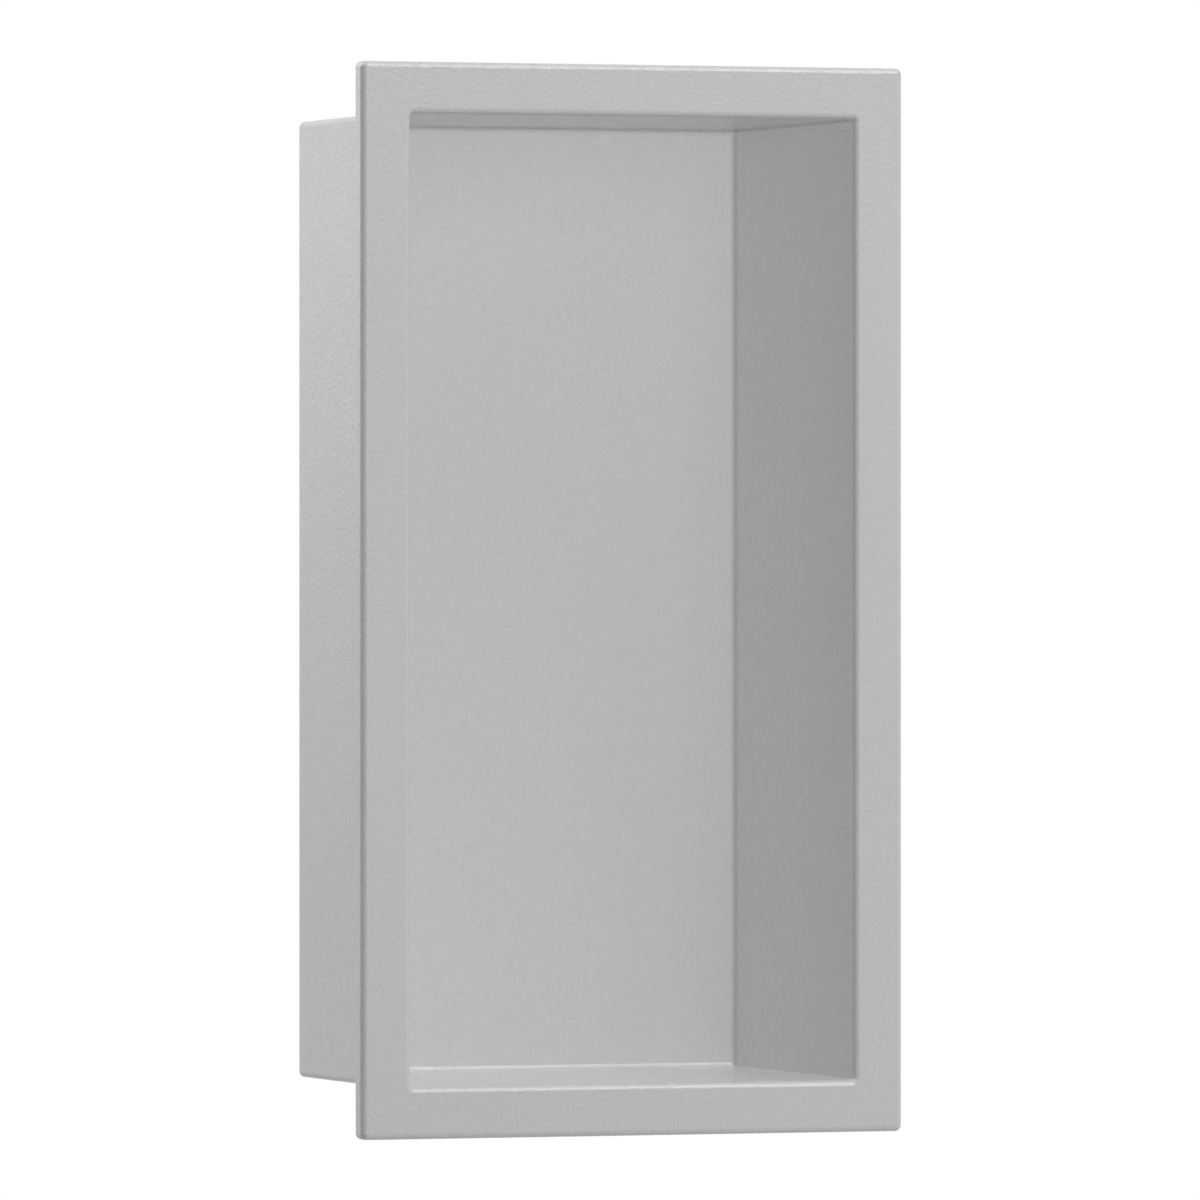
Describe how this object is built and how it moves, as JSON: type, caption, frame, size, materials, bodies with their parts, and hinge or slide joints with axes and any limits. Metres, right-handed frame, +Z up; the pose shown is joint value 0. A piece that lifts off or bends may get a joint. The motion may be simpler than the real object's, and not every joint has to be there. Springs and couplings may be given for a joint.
{
  "type": "shower niche insert",
  "caption": "Tall rectangular wall niche with a frame of its own, folded from thin sheet and powder-coated, let into a shower wall so that bottles can stand in it.",
  "frame": {"origin": "middle of the wall plane, where the rear edge of the frame's rim beds on the tiles", "axes": "+Z up as installed; -Y out of the wall towards the room, the way the niche opens; +Y into the wall; X along the wall"},
  "size_m": [0.1774, 0.106, 0.33],
  "materials": {
    "powder_coat": "matt concrete-grey powder coat with a fine grain, on folded sheet"
  },
  "bodies": {
    "root": {"niche_body": "powder_coat"}
  },
  "joints": []
}
